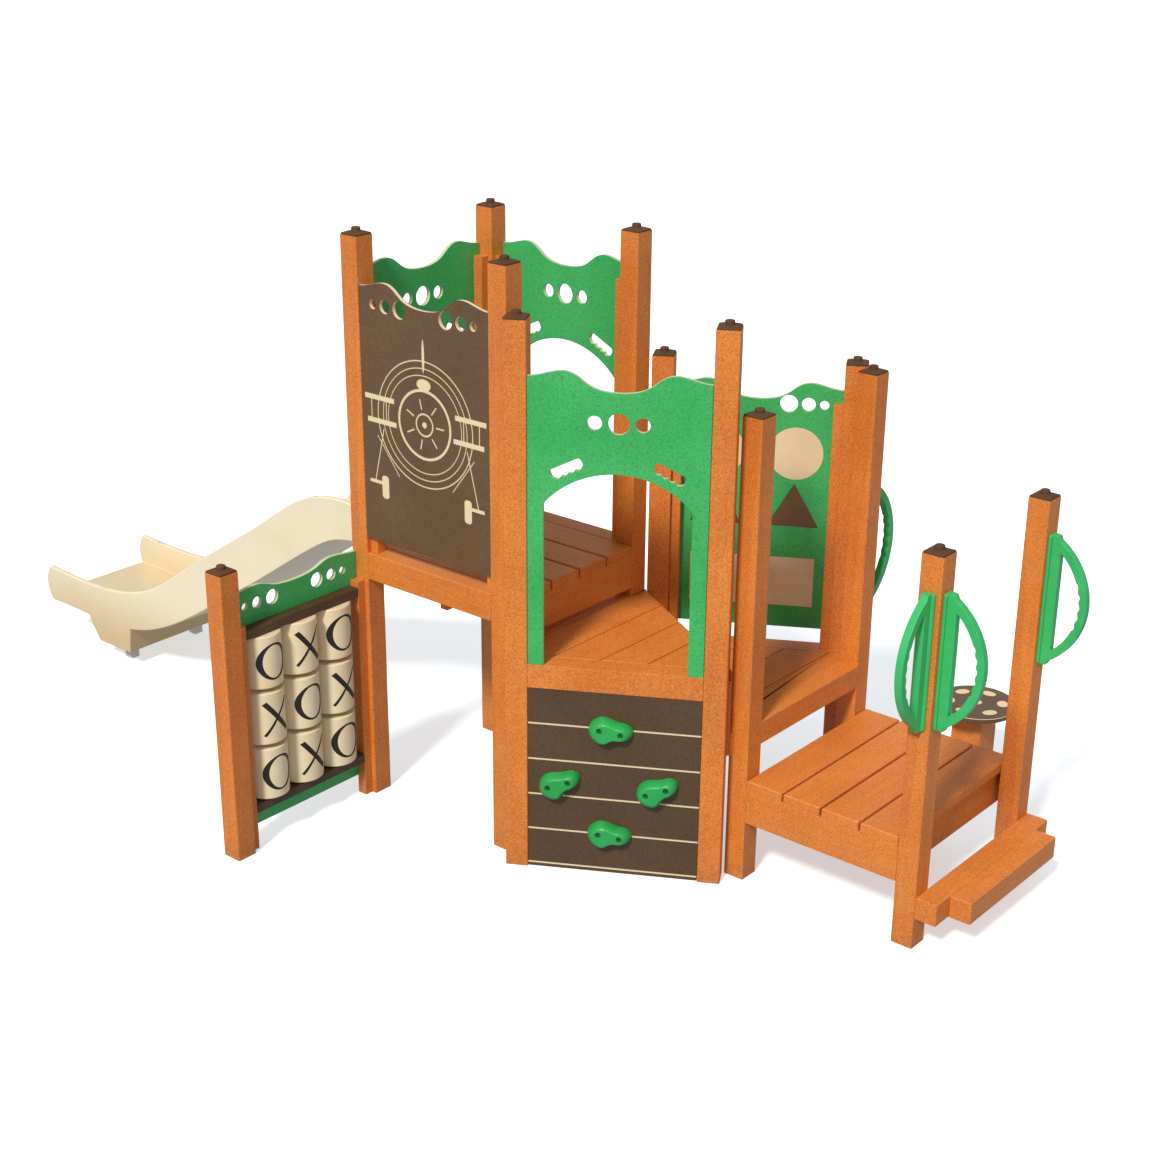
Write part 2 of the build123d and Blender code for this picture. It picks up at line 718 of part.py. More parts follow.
mark_h = 156.0
mark_w = 140.0                 # width of an O
x_w = 118.0                    # width of an X
o_side = 21.0                  # the O is drawn heavy at the sides and light at top and foot
o_top = 9.0
x_strokes = ((-1, 20.0), (1, 12.0))    # lean and thickness of the two strokes of the X
mark_depth = 1.5
for row in range(3):
    for column in (-1, 0, 1):
        drum_z = drum_foot + row * drum_pitch
        with BuildPart() as mark:
            middle = drum_plane(column, drum_z + drum_h / 2).origin
            front = Plane(origin=middle, x_dir=along_u, z_dir=-along_v)
            with BuildSketch(front):
                if (row + column) % 2:
                    Ellipse(mark_w / 2, mark_h / 2)
                    Ellipse(mark_w / 2 - o_side, mark_h / 2 - o_top, mode=Mode.SUBTRACT)
                else:
                    tilt = degrees(atan2(mark_h, x_w))
                    for lean, stroke in x_strokes:
                        with Locations(Location((0, 0, 0), (0, 0, lean * tilt))):
                            Rectangle(hypot(x_w, mark_h) - stroke, stroke)
            extrude(amount=drum_r + 5)
            with BuildSketch(drum_plane(column, drum_z)):
                Circle(drum_r - mark_depth)
            extrude(amount=drum_h, mode=Mode.SUBTRACT)
        with BuildPart() as drum:
            with BuildSketch(drum_plane(column, drum_z)):
                Circle(drum_r)
            extrude(amount=drum_h)
            fillet(drum.edges().filter_by(GeomType.CIRCLE), radius=6)
            with BuildSketch(drum_plane(column, drum_z)):
                Circle(rod_r + rod_fit)
            extrude(amount=drum_h, mode=Mode.SUBTRACT)
            add(mark.part, mode=Mode.SUBTRACT)
        save(drum, f"drum_{('bottom', 'middle', 'top')[row]}_{('left', 'centre', 'right')[column + 1]}")

# ================================================================ slide
slide_at = (spot["high_left"] + spot["high_back"]) / 2
chute_plane = Plane(origin=(slide_at.X, slide_at.Y, 0), x_dir=along_v, z_dir=along_u)
# Stations down the chute: distance out from the deck's posts, height of the
# riding floor and height of the side walls above it.
stations = ((half, high_z - 8, 109), (150, high_z - 12, 131), (300, 1056, 162), (430, 988, 202),
            (743, 780, 223), (1178, 500, 225), (1407, 366, 204), (1602, 280, 176), (1759, 240, 164),
            (2088, 230, 142), (2372, 234, 150))
chute_floor = [(v, z) for v, z, side in stations]
chute_top = [(v, z + side) for v, z, side in stations]
chute_under = [(v, z - slide_floor) for v, z, side in stations]
foot_z = 82.0                  # underside of the foot, carried by two ground anchors
foot_outline = [(1759, 222), (1776, foot_z), (2010, foot_z), (2057, 152), (2088, 214)]
lip_bulge = 34.0
with BuildPart() as slide_chute:
    with BuildSketch(chute_plane):
        with BuildLine():
            upper = Spline(*chute_top)
            lower = Spline(*chute_under)
            lip = ((upper @ 1) + (lower @ 1)) / 2
            ThreePointArc(upper @ 1, (lip.X + lip_bulge, lip.Y), lower @ 1)
            Line(lower @ 0, upper @ 0)
        make_face()
        Polygon(*foot_outline, align=None)
    extrude(amount=slide_w / 2, both=True)
    with BuildSketch(chute_plane):
        with BuildLine():
            floor = Spline(*chute_floor)
            over = high_z + 300
            Polyline(floor @ 1, (floor @ 1) + (2 * lip_bulge, 0), ((floor @ 1).X + 2 * lip_bulge, over),
                     (half, over), floor @ 0)
        make_face()
    extrude(amount=slide_w / 2 - slide_wall, both=True, mode=Mode.SUBTRACT)
save(slide_chute, "slide_chute")

anchor_w = 50.0
anchor_v = 1893.0
with BuildPart() as slide_anchors:
    with BuildSketch(Plane(origin=slide_at, x_dir=along_u, z_dir=(0, 0, 1))):
        with Locations((-200, anchor_v), (200, anchor_v)):
            RectangleRounded(anchor_w, anchor_w, 5)
            Rectangle(anchor_w - 8, anchor_w - 8, mode=Mode.SUBTRACT)
    extrude(amount=foot_z)
save(slide_anchors, "slide_anchors")

# ================================================================ hand grips
grip_z = 1148.0
grip_h = 520.0
grip_out = 172.0
grip_t = 30.0
grip_bar = 33.0                # the bow seen from the side
plate_w = 52.0
plate_t = 12.0
finger_pitch = 42.0
finger_dip = 5.0
bow_r = 20.0                   # radius of each finger hollow
loop_x = 48.0                  # straight inner side of the hand opening
grip_places = {
    "grip_entry_left_side": ("entry_left", -along_u),
    "grip_entry_left_front": ("entry_left", -along_v),
    "grip_entry_right_front": ("entry_right", -along_v),
    "grip_step_back_side": ("step_back", along_u),
}
for name, (post_name, out) in grip_places.items():
    at = spot[post_name] + out * half
    across = Vector(-out.Y, out.X, 0)
    with BuildPart() as grip:
        with BuildSketch(Plane(origin=(at.X, at.Y, grip_z), x_dir=out, z_dir=-across)):
            with BuildLine():
                top = (42, grip_h / 2 - 18)
                foot = (42, -grip_h / 2 + 18)
                bow = ThreePointArc(top, (grip_out, 0), foot)
                Polyline(foot, (34, -grip_h / 2), (0, -grip_h / 2), (0, grip_h / 2), (34, grip_h / 2), top)
            make_face()
        extrude(amount=grip_t / 2, both=True)
        inner_r = bow.radius - grip_bar
        hub = grip_out - bow.radius
        reach = sqrt(inner_r ** 2 - (loop_x - hub) ** 2)
        with BuildSketch(Plane(origin=(at.X, at.Y, grip_z), x_dir=out, z_dir=-across)):
            with BuildLine():
                ThreePointArc((loop_x, -reach), (hub + inner_r, 0), (loop_x, reach))
                Line((loop_x, reach), (loop_x, -reach))
            make_face()
            for k in range(-2, 3):
                turn = degrees(k * finger_pitch / inner_r)
                centre_r = inner_r + finger_dip - bow_r
                with Locations((hub + centre_r * cos(radians(turn)), centre_r * sin(radians(turn)))):
                    Circle(bow_r)
        extrude(amount=grip_t / 2 + 1, both=True, mode=Mode.SUBTRACT)
        with BuildSketch(Plane(origin=(at.X, at.Y, grip_z), x_dir=across, z_dir=out)):
            RectangleRounded(plate_w, grip_h, 10)
        extrude(amount=plate_t)
    save(grip, name)

# ================================================================ stool
stool_at = Vector(wall_x + 1397, wall_y + 1104, 0)
stool_plane = Plane(origin=stool_at, x_dir=along_u, z_dir=(0, 0, 1))
stool_h = 340.0
stool_t = 25.0
stool_r = 172.0
stool_post_w = 139.7
with BuildPart() as stool_post:
    with BuildSketch(stool_plane):
        RectangleRounded(stool_post_w, stool_post_w, 6)
    extrude(amount=stool_h - stool_t)
save(stool_post, "stool_post")

with BuildPart() as stool_seat:
    with BuildSketch(stool_plane.offset(stool_h - stool_t)):
        Circle(stool_r)
    extrude(amount=stool_t)
    fillet(stool_seat.edges().filter_by(GeomType.CIRCLE), radius=7)
    with BuildSketch(stool_plane.offset(stool_h)):
        with PolarLocations(112, 6):
            Ellipse(24, 33)
        Circle(26)
    extrude(amount=-engrave, mode=Mode.SUBTRACT)
save(stool_seat, "stool_seat")
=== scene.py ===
"""Looks of a children's play structure with a rock climbing wall.

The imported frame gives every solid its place.  This file softens the sawn and routed
edges, dresses each piece in its own finish and sets the studio up around it.
All lengths are metres in the part's own frame, +Z up.
"""

import json
import logging
import math
from dataclasses import dataclass
from enum import Enum

import bmesh
import bpy
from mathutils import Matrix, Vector


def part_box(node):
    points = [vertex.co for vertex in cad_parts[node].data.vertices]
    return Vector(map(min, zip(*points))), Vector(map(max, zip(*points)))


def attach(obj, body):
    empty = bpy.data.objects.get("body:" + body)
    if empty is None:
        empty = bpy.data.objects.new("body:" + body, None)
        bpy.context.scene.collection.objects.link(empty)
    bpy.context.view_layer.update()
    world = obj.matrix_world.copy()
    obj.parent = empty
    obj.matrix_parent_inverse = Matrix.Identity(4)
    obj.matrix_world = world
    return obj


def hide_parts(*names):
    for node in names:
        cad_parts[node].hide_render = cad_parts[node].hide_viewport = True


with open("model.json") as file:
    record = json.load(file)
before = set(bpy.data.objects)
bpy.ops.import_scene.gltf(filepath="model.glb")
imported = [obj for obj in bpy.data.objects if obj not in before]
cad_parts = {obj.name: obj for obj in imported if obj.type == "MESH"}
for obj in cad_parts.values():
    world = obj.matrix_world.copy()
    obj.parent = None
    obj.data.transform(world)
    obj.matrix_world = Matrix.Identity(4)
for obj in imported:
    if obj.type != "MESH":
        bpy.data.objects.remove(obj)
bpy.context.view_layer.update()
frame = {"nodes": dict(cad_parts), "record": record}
log = logging.getLogger("playground")

Colour = tuple[float, float, float]
Socket = bpy.types.NodeSocket

ALONG = Vector((math.cos(math.radians(60)), math.sin(math.radians(60)), 0.0))
ACROSS = Vector((math.cos(math.radians(150)), math.sin(math.radians(150)), 0.0))
EAST = Vector((1.0, 0.0, 0.0))
NORTH = Vector((0.0, 1.0, 0.0))
UP = Vector((0.0, 0.0, 1.0))


class Slot(Enum):
    """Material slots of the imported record."""

    LUMBER = "cedar_lumber"
    GREEN = "green_sheet"
    BROWN = "brown_sheet"
    CREAM = "cream_plastic"
    SLIDE = "slide_cream"
    HOLD = "hold_green"
    CAP = "dark_cap"
    STEEL = "steel"


class Graph:
    """Wires the nodes of one material."""

    def __init__(self, name: str) -> None:
        """Start an empty material with its surface shader.

        Args:
            name: the finish's name.
        """
        self.material = bpy.data.materials.new(name)
        self.material.use_nodes = True
        tree = self.material.node_tree
        tree.nodes.clear()
        self.nodes = tree.nodes
        self.links = tree.links
        self.shader = self.nodes.new("ShaderNodeBsdfPrincipled")
        out = self.nodes.new("ShaderNodeOutputMaterial")
        self.links.new(self.shader.outputs["BSDF"], out.inputs["Surface"])
        self.place = self.nodes.new("ShaderNodeTexCoord").outputs["Object"]

    def feed(self, socket: Socket, value: "Socket | float | Colour | Vector") -> None:
        """Link a socket, or set its value.

        Args:
            socket: the input to fill.
            value: another node's output, or a constant.
        """
        if isinstance(value, bpy.types.NodeSocket):
            self.links.new(value, socket)
        elif isinstance(value, (tuple, list)) and len(value) == 3 and socket.type == "RGBA":
            socket.default_value = (*value, 1.0)
        else:
            socket.default_value = value

    def sum(self, operation: str, a: "Socket | float", b: "Socket | float" = 0.0) -> Socket:
        """One step of arithmetic.

        Args:
            operation: Blender's name of the operation.
            a: first number.
            b: second number.

        Returns:
            The result's socket.
        """
        node = self.nodes.new("ShaderNodeMath")
        node.operation = operation
        self.feed(node.inputs[0], a)
        self.feed(node.inputs[1], b)
        return node.outputs[0]

    def along(self, direction: Vector, origin: Vector | None = None) -> Socket:
        """Distance of the surface point along a direction.

        Args:
            direction: unit vector.
            origin: where the distance is zero.

        Returns:
            The distance in metres.
        """
        node = self.nodes.new("ShaderNodeVectorMath")
        node.operation = "DOT_PRODUCT"
        self.links.new(self.place, node.inputs[0])
        node.inputs[1].default_value = direction
        if origin is None:
            return node.outputs["Value"]
        return self.sum("SUBTRACT", node.outputs["Value"], float(direction.dot(origin)))

    def grain(self, direction: Vector, stretch: float) -> Socket:
        """Coordinates drawn out along a piece, for streaks.

        Args:
            direction: which way the piece was extruded or sawn.
            stretch: how many times longer than wide the streaks are.

        Returns:
            A vector socket.
        """
        side = direction.cross(UP if abs(direction.z) < 0.9 else EAST).normalized()
        node = self.nodes.new("ShaderNodeCombineXYZ")
        self.feed(node.inputs[0], self.sum("DIVIDE", self.along(direction), stretch))
        self.feed(node.inputs[1], self.along(side))
        self.feed(node.inputs[2], self.along(direction.cross(side)))
        return node.outputs[0]

    def noise(self, scale: float, detail: float = 2.0, rough: float = 0.5,
              at: Socket | None = None) -> Socket:
        """Smooth random values.

        Args:
            scale: features per metre.
            detail: number of finer layers.
            rough: strength of the finer layers.
            at: coordinates, or the surface point itself.

        Returns:
            A value from 0 to 1.
        """
        node = self.nodes.new("ShaderNodeTexNoise")
        self.links.new(at or self.place, node.inputs["Vector"])
        node.inputs["Scale"].default_value = scale
        node.inputs["Detail"].default_value = detail
        node.inputs["Roughness"].default_value = rough
        return node.outputs["Fac"]

    def ramp(self, factor: Socket, low: float, high: float, start: float = 0.0, end: float = 1.0) -> Socket:
        """Stretch a value between two limits and clamp it.

        Args:
            factor: the value.
            low: where the result is start.
            high: where the result is end.
            start: result at the low limit.
            end: result at the high limit.

        Returns:
            The stretched value.
        """
        node = self.nodes.new("ShaderNodeMapRange")
        self.links.new(factor, node.inputs["Value"])
        for name, value in (("From Min", low), ("From Max", high), ("To Min", start), ("To Max", end)):
            node.inputs[name].default_value = value
        return node.outputs["Result"]

    def mix(self, factor: "Socket | float", a: "Socket | Colour", b: "Socket | Colour") -> Socket:
        """Mix two colours.

        Args:
            factor: share of the second colour.
            a: first colour.
            b: second colour.

        Returns:
            The mixed colour.
        """
        node = self.nodes.new("ShaderNodeMix")
        node.data_type = "RGBA"
        self.feed(node.inputs[0], factor)
        self.feed(node.inputs[6], a)
        self.feed(node.inputs[7], b)
        return node.outputs[2]

    def island(self) -> Socket:
        """A random value for each separate solid of a piece."""
        return self.nodes.new("ShaderNodeNewGeometry").outputs["Random Per Island"]

    def between(self, value: Socket, low: float, high: float) -> Socket:
        """One where a value lies between two limits, else zero.

        Args:
            value: the value.
            low: lower limit.
            high: upper limit.

        Returns:
            A mask.
        """
        return self.sum("MULTIPLY", self.sum("GREATER_THAN", value, low), self.sum("LESS_THAN", value, high))

    def bump(self, height: Socket, distance: float, strength: float = 1.0,
             under: Socket | None = None) -> Socket:
        """Small relief.

        Args:
            height: relief from 0 to 1.
            distance: its depth in metres.
            strength: how much of it shows.
            under: relief that lies beneath this one.

        Returns:
            A normal socket.
        """
        node = self.nodes.new("ShaderNodeBump")
        node.inputs["Distance"].default_value = distance
        node.inputs["Strength"].default_value = strength
        self.links.new(height, node.inputs["Height"])
        if under is not None:
            self.links.new(under, node.inputs["Normal"])
        return node.outputs["Normal"]

    def finish(self, colour: "Socket | Colour", rough: "Socket | float", normal: Socket | None,
               specular: float = 0.5, coat: float = 0.0, metal: float = 0.0) -> bpy.types.Material:
        """Fill the surface shader.

        Args:
            colour: base colour.
            rough: roughness.
            normal: relief.
            specular: strength of the plain reflection.
            coat: strength of a clear coat.
            metal: 1 for bare metal.

        Returns:
            The finished material.
        """
        self.feed(self.shader.inputs["Base Color"], colour)
        self.feed(self.shader.inputs["Roughness"], rough)
        self.shader.inputs["Specular IOR Level"].default_value = specular
        self.shader.inputs["Coat Weight"].default_value = coat
        self.shader.inputs["Metallic"].default_value = metal
        if normal is not None:
            self.links.new(normal, self.shader.inputs["Normal"])
        return self.material


@dataclass(frozen=True)
class LumberFinish:
    """Recycled plastic lumber: streaked along its run, flecked all over."""

    name: str
    run: Vector
    light: Colour = (0.80, 0.262, 0.046)
    deep: Colour = (0.53, 0.126, 0.014)
    fleck: Colour = (0.30, 0.055, 0.006)
    spark: Colour = (0.95, 0.40, 0.10)
    soil: Colour = (0.26, 0.10, 0.035)
    streak_stretch: float = 16.0
    soil_height: float = 0.10

    def material(self) -> bpy.types.Material:
        """Build the finish."""
        g = Graph(self.name)
        streak = g.noise(46.0, 3.0, 0.55, g.grain(self.run, self.streak_stretch))
        cloud = g.noise(3.1, 3.0)
        tone = g.sum("ADD", g.ramp(streak, 0.34, 0.68, 0.0, 0.20), g.ramp(cloud, 0.38, 0.64, 0.0, 0.30))
        tone = g.sum("ADD", tone, g.sum("MULTIPLY", g.island(), 0.20))
        colour = g.mix(tone, self.light, self.deep)
        coarse = g.noise(190.0, 3.0, 0.7)
        fine = g.noise(620.0, 2.0, 0.6)
        colour = g.mix(g.ramp(coarse, 0.50, 0.68, 0.0, 0.66), colour, self.fleck)
        colour = g.mix(g.ramp(fine, 0.58, 0.74, 0.0, 0.45), colour, self.fleck)
        colour = g.mix(g.ramp(coarse, 0.46, 0.30, 0.0, 0.55), colour, self.spark)
        near_ground = g.ramp(g.along(UP), self.soil_height, 0.0)
        scuff = g.sum("MULTIPLY", near_ground, g.ramp(g.noise(34.0, 4.0, 0.7), 0.36, 0.66))
        colour = g.mix(g.sum("MULTIPLY", scuff, 0.55), colour, self.soil)
        rough = g.sum("ADD", g.ramp(coarse, 0.3, 0.7, 0.34, 0.50), g.ramp(streak, 0.3, 0.7, 0.0, 0.08))
        relief = g.bump(streak, 0.0006, 0.35)
        relief = g.bump(coarse, 0.0011, 0.75, relief)
        relief = g.bump(fine, 0.0005, 0.8, relief)
        return g.finish(colour, rough, relief, 0.45)


@dataclass(frozen=True)
class SheetFinish:
    """Pebbled plastic sheet with a paler colour where it is cut: the real core on the brown sheets, a painted
    highlight along every cut edge of the green sheets.
    """

    name: str
    face: Colour
    shade: Colour
    core_and_edge_highlight: Colour
    out: Vector
    outer: float
    inner: float
    skin: float = 0.0021

    def material(self) -> bpy.types.Material:
        """Build the finish."""
        g = Graph(self.name)
        cloud = g.noise(2.3, 3.0)
        pebble = g.noise(330.0, 2.0, 0.55)
        fleck = g.noise(150.0, 3.0, 0.75)
        colour = g.mix(g.ramp(cloud, 0.32, 0.68, 0.0, 0.55), self.face, self.shade)
        dark = tuple(0.8 * c for c in self.shade)
        bright = tuple(min(1.0, 1.35 * c + 0.02) for c in self.face)
        colour = g.mix(g.ramp(fleck, 0.48, 0.66, 0.0, 0.72), colour, dark)
        colour = g.mix(g.ramp(pebble, 0.46, 0.30, 0.0, 0.42), colour, bright)
        depth = g.along(self.out)
        # Cut faces take the paler colour: the real core of the brown sheets, a painted edge highlight on the
        # green ones.
        cut = g.between(depth, self.inner + self.skin, self.outer - self.skin)
        dull_core_and_edge_highlight = tuple(0.78 * c for c in self.core_and_edge_highlight)
        core_and_edge_highlight = g.mix(g.ramp(g.noise(210.0, 2.0), 0.4, 0.7, 0.0, 0.5), self.core_and_edge_highlight, dull_core_and_edge_highlight)
        colour = g.mix(cut, colour, core_and_edge_highlight)
        rough = g.sum("ADD", g.ramp(pebble, 0.3, 0.7, 0.30, 0.44), g.sum("MULTIPLY", cut, 0.18))
        smooth = g.sum("SUBTRACT", 1.0, cut)
        relief = g.bump(g.sum("MULTIPLY", pebble, smooth), 0.0010, 0.8)
        relief = g.bump(fleck, 0.0006, 0.45, relief)
        return g.finish(colour, rough, relief, 0.5)


@dataclass(frozen=True)
class PlainFinish:
    """Moulded or cast piece of one colour with fine pebble, drift and lighter wear spots.

    A painted low shade, where there is one, grows towards the ground below its top height.
    """

    name: str
    face: Colour
    shade: Colour
    rough: float = 0.38
    pebble_scale: float = 420.0
    pebble_depth: float = 0.0006
    specular: float = 0.5
    coat: float = 0.0
    low_shade: Colour | None = None
    low_shade_top: float = 0.0

    def material(self) -> bpy.types.Material:
        """Build the finish."""
        g = Graph(self.name)
        cloud = g.noise(5.0, 4.0, 0.6)
        pebble = g.noise(self.pebble_scale, 3.0, 0.65)
        scuff = g.noise(28.0, 5.0, 0.72)
        colour = g.mix(g.ramp(cloud, 0.3, 0.7), self.face, self.shade)
        dark = tuple(0.72 * c for c in self.shade)
        wear_and_end_shade = tuple(min(1.0, 1.15 * c + 0.03) for c in self.face)
        colour = g.mix(g.ramp(pebble, 0.55, 0.75, 0.0, 0.35), colour, dark)
        colour = g.mix(g.ramp(scuff, 0.60, 0.78, 0.0, 0.22), colour, wear_and_end_shade)
        # Painted shade: the colour darkens towards the ground below the top height.
        if self.low_shade is not None:
            height = g.sum("ADD", g.along(UP), g.ramp(cloud, 0.3, 0.7, -0.04, 0.04))
            colour = g.mix(g.ramp(height, self.low_shade_top, 0.3 * self.low_shade_top, 0.0, 0.85), colour, self.low_shade)
        rough = g.ramp(scuff, 0.3, 0.75, self.rough - 0.05, self.rough + 0.12)
        relief = g.bump(pebble, self.pebble_depth, 0.8)
        return g.finish(colour, rough, relief, self.specular, self.coat)


@dataclass(frozen=True)
class DrumFinish:
    """Cream drum whose sunk mark is painted black, with painted shade darkening its top and bottom ends."""

    name: str
    centre: Vector
    radius: float
    reach: float
    light: Colour = (0.90, 0.76, 0.50)
    deep: Colour = (0.84, 0.69, 0.43)
    fleck: Colour = (0.60, 0.45, 0.26)
    end_shade: Colour = (0.55, 0.42, 0.26)
    black: Colour = (0.012, 0.011, 0.010)
    dusty_black: Colour = (0.05, 0.045, 0.04)
    sunk_by: float = 0.0005

    def material(self) -> bpy.types.Material:
        """Build the finish."""
        g = Graph(self.name)
        across = g.along(EAST, self.centre)
        deep = g.along(NORTH, self.centre)
        square = g.sum("ADD", g.sum("MULTIPLY", across, across), g.sum("MULTIPLY", deep, deep))
        out = g.sum("SQRT", square)
        level = g.sum("ABSOLUTE", g.along(UP, self.centre))
        below_skin = g.sum("LESS_THAN", out, self.radius - self.sunk_by)
        sunk = g.sum("MULTIPLY", below_skin, g.sum("LESS_THAN", level, self.reach))
        cloud = g.noise(7.0, 4.0, 0.6)
        pebble = g.noise(360.0, 3.0, 0.6)
        cream = g.mix(g.ramp(cloud, 0.3, 0.7), self.light, self.deep)
        cream = g.mix(g.ramp(pebble, 0.54, 0.74, 0.0, 0.4), cream, self.fleck)
        # Painted shade: the cream darkens at the top and bottom ends, next to the gaps between the stacked
        # drums.
        wear_and_end_shade = g.ramp(level, self.reach + 0.012, self.reach + 0.03, 0.0, 0.35)
        cream = g.mix(wear_and_end_shade, cream, self.end_shade)
        paint = g.mix(g.ramp(pebble, 0.5, 0.8, 0.0, 0.5), self.black, self.dusty_black)
        colour = g.mix(sunk, cream, paint)
        rough = g.sum("ADD", g.ramp(cloud, 0.3, 0.7, 0.34, 0.46), g.sum("MULTIPLY", sunk, 0.1))
        return g.finish(colour, rough, g.bump(pebble, 0.0005, 0.7), 0.45)


@dataclass(frozen=True)
class SteelFinish:
    """Zinc-plated steel with drawn lines and dull patches."""

    name: str = "zinc_plated_steel"
    bright: Colour = (0.62, 0.62, 0.60)
    dull: Colour = (0.42, 0.42, 0.42)

    def material(self) -> bpy.types.Material:
        """Build the finish."""
        g = Graph(self.name)
        lines = g.noise(500.0, 2.0, 0.5, g.grain(UP, 20.0))
        patch = g.noise(60.0, 4.0, 0.65)
        colour = g.mix(g.ramp(patch, 0.35, 0.7), self.bright, self.dull)
        rough = g.ramp(patch, 0.3, 0.7, 0.28, 0.5)
        return g.finish(colour, rough, g.bump(lines, 0.0002, 0.6), 0.5, 0.0, 1.0)


GREEN_FACE: Colour = (0.062, 0.500, 0.140)
GREEN_SHADE: Colour = (0.018, 0.300, 0.062)
# Painted highlight along the cut edges of the green sheets.
GREEN_EDGE_HIGHLIGHT: Colour = (0.62, 0.62, 0.40)
BROWN_FACE: Colour = (0.155, 0.086, 0.038)
BROWN_SHADE: Colour = (0.082, 0.043, 0.018)
DARK_FACE: Colour = (0.108, 0.056, 0.024)
DARK_SHADE: Colour = (0.058, 0.029, 0.012)
CREAM_CORE: Colour = (0.84, 0.68, 0.42)
SKY_WHITE = (0.93, 0.965, 1.0, 1.0)


class Workshop:
    """Shared hand tools: softening edges, dressing and fixing pieces to bodies."""

    weld_distance: float = 0.00002
    flat_angle: float = math.radians(0.6)

    def __init__(self) -> None:
        """Know which body carries which node."""
        bodies = frame["record"]["behaviour"]["bodies"]
        self.body_of = {node: body for body, nodes in bodies.items() for node in nodes}

    def dress(self, node: str, material: bpy.types.Material) -> None:
        """Put a finish on a node whose shape is already right.

        Args:
            node: the node's name.
            material: the finish.
        """
        piece = frame["nodes"][node]
        piece.data.materials.clear()
        piece.data.materials.append(material)
        log.info("%s dressed in %s", node, material.name)

    def soften(self, node: str, width: float, material: bpy.types.Material, slot: Slot,
               segments: int = 2, sharp: float = 32.0) -> bpy.types.Object:
        """Stand a copy with rounded edges in a node's place.

        Args:
            node: the node's name.
            width: how far the rounding runs in from each edge.
            material: the finish.
            slot: the record's slot of that finish; not used.
            segments: facets over the rounding.
            sharp: edges turning more than this many degrees are rounded.

        Returns:
            The new piece.
        """
        source = frame["nodes"][node].data
        mesh = bpy.data.meshes.new(f"{node}_soft")
        work = bmesh.new()
        work.from_mesh(source)
        bmesh.ops.remove_doubles(work, verts=work.verts, dist=self.weld_distance)
        bmesh.ops.dissolve_limit(work, angle_limit=self.flat_angle, verts=work.verts, edges=work.edges)
        work.to_mesh(mesh)
        work.free()
        mesh.materials.clear()
        mesh.materials.append(material)
        piece = bpy.data.objects.new(f"{node}_soft", mesh)
        bpy.context.scene.collection.objects.link(piece)
        rounding = piece.modifiers.new("rounding", "BEVEL")
        rounding.width = width
        rounding.segments = segments
        rounding.limit_method = "ANGLE"
        rounding.angle_limit = math.radians(sharp)
        rounding.use_clamp_overlap = False
        mesh.polygons.foreach_set("use_smooth", [True] * len(mesh.polygons))
        mesh.set_sharp_from_angle(angle=math.radians(sharp))
        shading = piece.modifiers.new("shading", "WEIGHTED_NORMAL")
        shading.keep_sharp = False
        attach(piece, self.body_of[node])
        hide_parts(node)
        log.info("%s softened by %.1f mm in %s", node, width * 1000, material.name)
        return piece


@dataclass
class Posts:
    """Thirteen square posts with their moulded caps."""

    shop: Workshop
    standing: tuple[str, ...] = ("high_front", "high_right", "high_left", "high_back", "wall_left",
                                 "wall_right", "panel_left", "panel_right", "step_front", "step_back",
                                 "entry_left", "entry_right", "game_end")
    cap_rounding: float = 0.0008

    def build(self) -> None:
        """Dress every post and soften the caps."""
        lumber = LumberFinish("post_lumber", UP).material()
        for name in self.standing:
            self.shop.dress(f"post_{name}", lumber)
        cap = PlainFinish("moulded_cap", (0.135, 0.066, 0.030), (0.085, 0.040, 0.018), rough=0.6,
                          pebble_scale=500.0, specular=0.22).material()
        self.shop.soften("post_caps", self.cap_rounding, cap, Slot.CAP, 1)


@dataclass
class Decks:
    """Boards, joists and beams of the four decks and the entry step."""

    shop: Workshop
    rounding: float = 0.0016
    seam_rounding: float = 0.0034
    narrow_seams: tuple[str, ...] = ("lower_triangle_boards", "upper_triangle_boards")

    def build(self) -> None:
        """Dress each deck along the run of its own boards."""
        runs = {
            "boards_up_slope": (ALONG, ("entry_deck_boards", "step_inner_beam", "step_outer_beam",
                                        *self.narrow_seams)),
            "boards_to_slide": (ACROSS, ("high_deck_boards", "high_deck_rims")),
            "joists_up_slope": (ALONG, ("high_deck_joists", "upper_triangle_beams", "lower_triangle_beams")),
            "entry_frame": (ACROSS, ("entry_deck_frame",)),
            "battens": (UP, ("panel_battens",)),
        }
        for name, (run, nodes) in runs.items():
            material = LumberFinish(f"{name}_lumber", run).material()
            for node in nodes:
                width = self.seam_rounding if node in self.narrow_seams else self.rounding
                self.shop.soften(node, width, material, Slot.LUMBER)


@dataclass
class ClimbingWall:
    """Grooved panel with its four bolted hand holds."""

    shop: Workshop
    rounding: float = 0.0009
    holds: tuple[str, ...] = ("hold_top", "hold_left", "hold_right", "hold_bottom")

    def build(self) -> None:
        """Dress the panel, the holds and their bolts."""
        low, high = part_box("climbing_panel")
        finish = SheetFinish("climbing_sheet", DARK_FACE, DARK_SHADE, CREAM_CORE, -NORTH, -low.y, -high.y)
        self.shop.soften("climbing_panel", self.rounding, finish.material(), Slot.BROWN)
        cast = PlainFinish("cast_hold", (0.020, 0.420, 0.085), (0.010, 0.290, 0.055), rough=0.30,
                           pebble_scale=260.0, pebble_depth=0.0013, specular=0.55, coat=0.15).material()
        for node in self.holds:
            self.shop.dress(node, cast)
        bolt = PlainFinish("hold_bolt", (0.02, 0.15, 0.04), (0.012, 0.09, 0.022), 0.35).material()
        self.shop.dress("hold_bolts", bolt)


